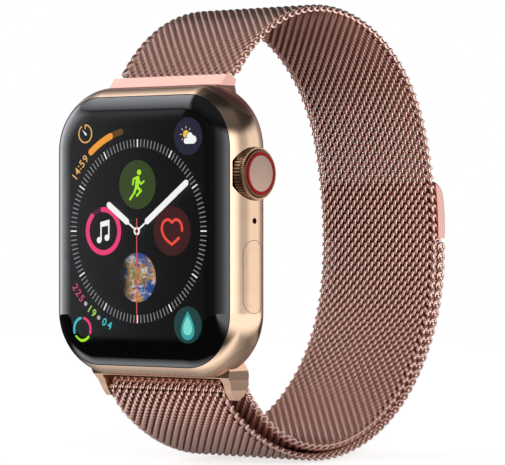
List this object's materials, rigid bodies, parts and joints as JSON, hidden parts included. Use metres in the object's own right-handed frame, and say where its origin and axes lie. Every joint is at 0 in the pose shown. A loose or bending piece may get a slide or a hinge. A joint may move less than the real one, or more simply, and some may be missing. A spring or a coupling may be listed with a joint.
{
  "type": "smartwatch",
  "caption": "Smartwatch with a rounded rectangular metal case, turning and pressing crown, side button and a woven mesh strap that folds back to a magnetic clasp.",
  "frame": {"origin": "middle of the flat face of the back crystal, which rests on the wrist", "axes": "+X across the case towards the crown, +Y from the glass towards the wrist, +Z towards twelve o'clock"},
  "size_m": [0.0394, 0.062, 0.071],
  "materials": {
    "gold_steel": "polished, gold coated",
    "glass_black": "polished, black behind",
    "display": "dark lit panel",
    "black_rubber": "matte",
    "polyimide": "matte film",
    "ceramic_back": "polished ceramic",
    "electrode": "satin",
    "crystal": "polished",
    "board_green": "solder mask",
    "black_plastic": "matte",
    "led_green": "clear lens",
    "diode": "dark lens",
    "battery_foil": "foil",
    "plain_steel": "satin",
    "fine_mesh": "dark woven",
    "aluminium_part": "satin",
    "switch_body": "matte",
    "brass_part": "turned",
    "tungsten": "ground",
    "crown_red": "satin enamel",
    "crown_taupe": "fine satin",
    "lug_pink": "satin rose gold",
    "mesh_rose": "polished rose gold wire",
    "magnet": "nickel plated"
  },
  "bodies": {
    "case": {"case_shell": "gold_steel", "front_glass": "glass_black", "display_panel": "display", "display_gasket": "black_rubber", "display_flex": "polyimide", "back_cover": "ceramic_back", "electrode_ring": "electrode", "back_crystal": "crystal", "back_gasket": "black_rubber", "sensor_board": "board_green", "sensor_shroud": "black_plastic", "sensor_leds": "led_green", "sensor_diodes": "diode", "battery": "battery_foil", "haptic_housing": "plain_steel", "logic_board": "board_green", "logic_package": "black_plastic", "board_screws": "plain_steel", "speaker_module": "black_plastic", "speaker_mesh": "fine_mesh", "microphone": "aluminium_part", "mic_mesh": "fine_mesh", "switch_bracket": "aluminium_part", "crown_switch": "switch_body", "button_switch": "switch_body", "crown_bush": "brass_part", "crown_seal": "black_rubber"},
    "haptic_weight": {"haptic_mass": "tungsten"},
    "crown_carriage": {"crown_yoke": "plain_steel"},
    "crown": {"crown_knob": "gold_steel", "crown_ring": "crown_red", "crown_cap": "crown_taupe", "crown_shaft": "plain_steel", "crown_encoder": "black_plastic"},
    "side_button": {"side_button": "gold_steel", "button_plate": "plain_steel"},
    "upper_release": {"upper_release": "gold_steel"},
    "lower_release": {"lower_release": "gold_steel"},
    "band": {"upper_lug": "lug_pink", "lower_lug": "lug_pink", "mesh_over": "mesh_rose", "mesh_behind": "mesh_rose", "mesh_under": "mesh_rose", "mesh_fold": "mesh_rose", "upper_latch_spring": "plain_steel", "lower_latch_spring": "plain_steel"},
    "upper_latch": {"upper_latch": "plain_steel"},
    "lower_latch": {"lower_latch": "plain_steel"},
    "tail_1": {"tail_mesh_1": "mesh_rose"},
    "tail_2": {"tail_mesh_2": "mesh_rose"},
    "tail_3": {"tail_mesh_3": "mesh_rose", "clasp_shell": "lug_pink", "clasp_liner": "black_plastic", "clasp_magnet": "magnet"}
  },
  "joints": [
    {"name": "haptic_shake", "type": "slide", "parent": "case", "child": "haptic_weight", "axis": [1, 0, 0], "range_m": [-0.0008, 0.0008], "stiffness_N_per_m": 1600},
    {"name": "crown_press", "type": "slide", "parent": "case", "child": "crown_carriage", "axis": [-1, 0, 0], "range_m": [0, 0.0004], "stiffness_N_per_m": 2500, "springref_m": -0.0002},
    {"name": "crown_turn", "type": "hinge", "parent": "crown_carriage", "child": "crown", "pos_m": [0.0187, -0.0053, 0.0085], "axis": [1, 0, 0], "continuous": true},
    {"name": "side_button_press", "type": "slide", "parent": "case", "child": "side_button", "axis": [-1, 0, 0], "range_m": [0, 0.0003], "stiffness_N_per_m": 3000, "springref_m": -0.0002},
    {"name": "upper_release_press", "type": "slide", "parent": "case", "child": "upper_release", "axis": [0, -1, 0], "range_m": [0, 0.0009], "stiffness_N_per_m": 400},
    {"name": "lower_release_press", "type": "slide", "parent": "case", "child": "lower_release", "axis": [0, -1, 0], "range_m": [0, 0.0009], "stiffness_N_per_m": 400},
    {"name": "band_slide", "type": "slide", "parent": "case", "child": "band", "axis": [1, 0, 0], "range_m": [0, 0.04]},
    {"name": "upper_latch_press", "type": "slide", "parent": "band", "child": "upper_latch", "axis": [0, -1, 0], "range_m": [0, 0.0009], "stiffness_N_per_m": 900, "springref_m": -0.0004, "deforming": ["upper_latch_spring"]},
    {"name": "lower_latch_press", "type": "slide", "parent": "band", "child": "lower_latch", "axis": [0, -1, 0], "range_m": [0, 0.0009], "stiffness_N_per_m": 900, "springref_m": -0.0004, "deforming": ["lower_latch_spring"]},
    {"name": "tail_peel_1", "type": "hinge", "parent": "band", "child": "tail_1", "pos_m": [0, 0.00569, -0.03261], "axis": [1, 0, 0], "range_deg": [-40, 0]},
    {"name": "tail_peel_2", "type": "hinge", "parent": "tail_1", "child": "tail_2", "pos_m": [0, 0.03085, -0.03349], "axis": [1, 0, 0], "range_deg": [-40, 0]},
    {"name": "tail_peel_3", "type": "hinge", "parent": "tail_2", "child": "tail_3", "pos_m": [0, 0.04584, -0.02122], "axis": [1, 0, 0], "range_deg": [-40, 0]}
  ],
  "couplings": [
    {"joint": "upper_latch_press", "follows": "upper_release_press", "ratio": 1},
    {"joint": "lower_latch_press", "follows": "lower_release_press", "ratio": 1}
  ]
}
